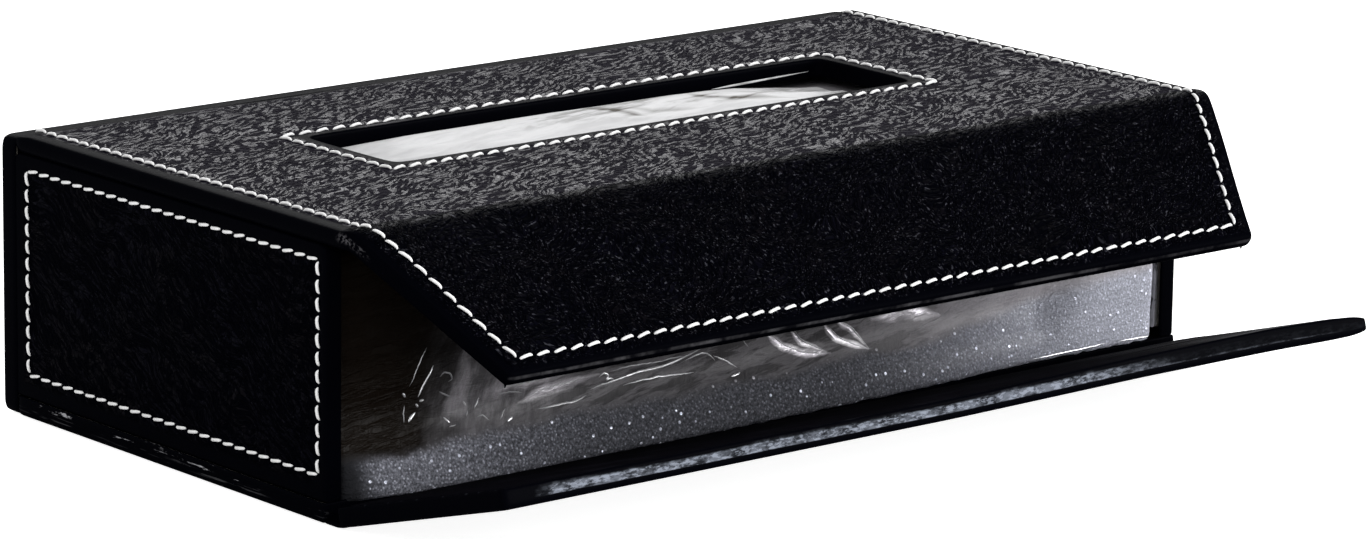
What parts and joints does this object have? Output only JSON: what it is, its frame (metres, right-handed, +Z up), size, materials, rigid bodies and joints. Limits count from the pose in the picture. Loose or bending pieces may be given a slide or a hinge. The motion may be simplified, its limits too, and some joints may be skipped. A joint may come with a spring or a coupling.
{
  "type": "car tissue holder",
  "caption": "Black leatherette tissue box for a car, with a long slot in its top, a lifting front flap and a front wall that drops to take the pack.",
  "frame": {"origin": "centre of the closed box's underside, on the surface it stands on", "axes": "+X along the box to its right end, -Y out of the front that opens, +Z up"},
  "size_m": [0.24, 0.1745, 0.0625],
  "materials": {
    "leather": "black pebble grain leatherette, satin",
    "board": "grey bookbinder's board, matte",
    "lining": "thin black backing cloth",
    "steel": "plated disc",
    "tissue": "soft white tissue, matte",
    "film": "clear wrinkled pack film"
  },
  "bodies": {
    "case": {"base_cover": "leather", "base_board": "board", "base_lining": "lining", "back_cover": "leather", "back_board": "board", "back_lining": "lining", "top_cover": "leather", "top_board": "board", "top_lining": "lining", "left_end_cover": "leather", "left_end_board": "board", "left_end_lining": "lining", "right_end_cover": "leather", "right_end_board": "board", "right_end_lining": "lining", "flap_fold": "leather", "front_wall_fold": "leather", "tissue_stack": "tissue", "pack_film": "film", "top_tissue": "tissue"},
    "flap": {"flap_cover": "leather", "flap_board": "board", "flap_lining": "lining", "flap_magnet_left": "steel", "flap_magnet_right": "steel"},
    "front_wall": {"front_wall_cover": "leather", "front_wall_board": "board", "front_wall_lining": "lining", "wall_keeper_left": "steel", "wall_keeper_right": "steel"}
  },
  "joints": [
    {"name": "flap_hinge", "type": "hinge", "parent": "case", "child": "flap", "pos_m": [0, -0.06175, 0.0575], "axis": [-1, 0, 0], "range_deg": [-52.5, 127.5], "deforming": ["flap_fold"]},
    {"name": "front_wall_hinge", "type": "hinge", "parent": "case", "child": "front_wall", "pos_m": [0, -0.06, 0.0005], "axis": [-1, 0, 0], "range_deg": [-16.2, 20]}
  ]
}
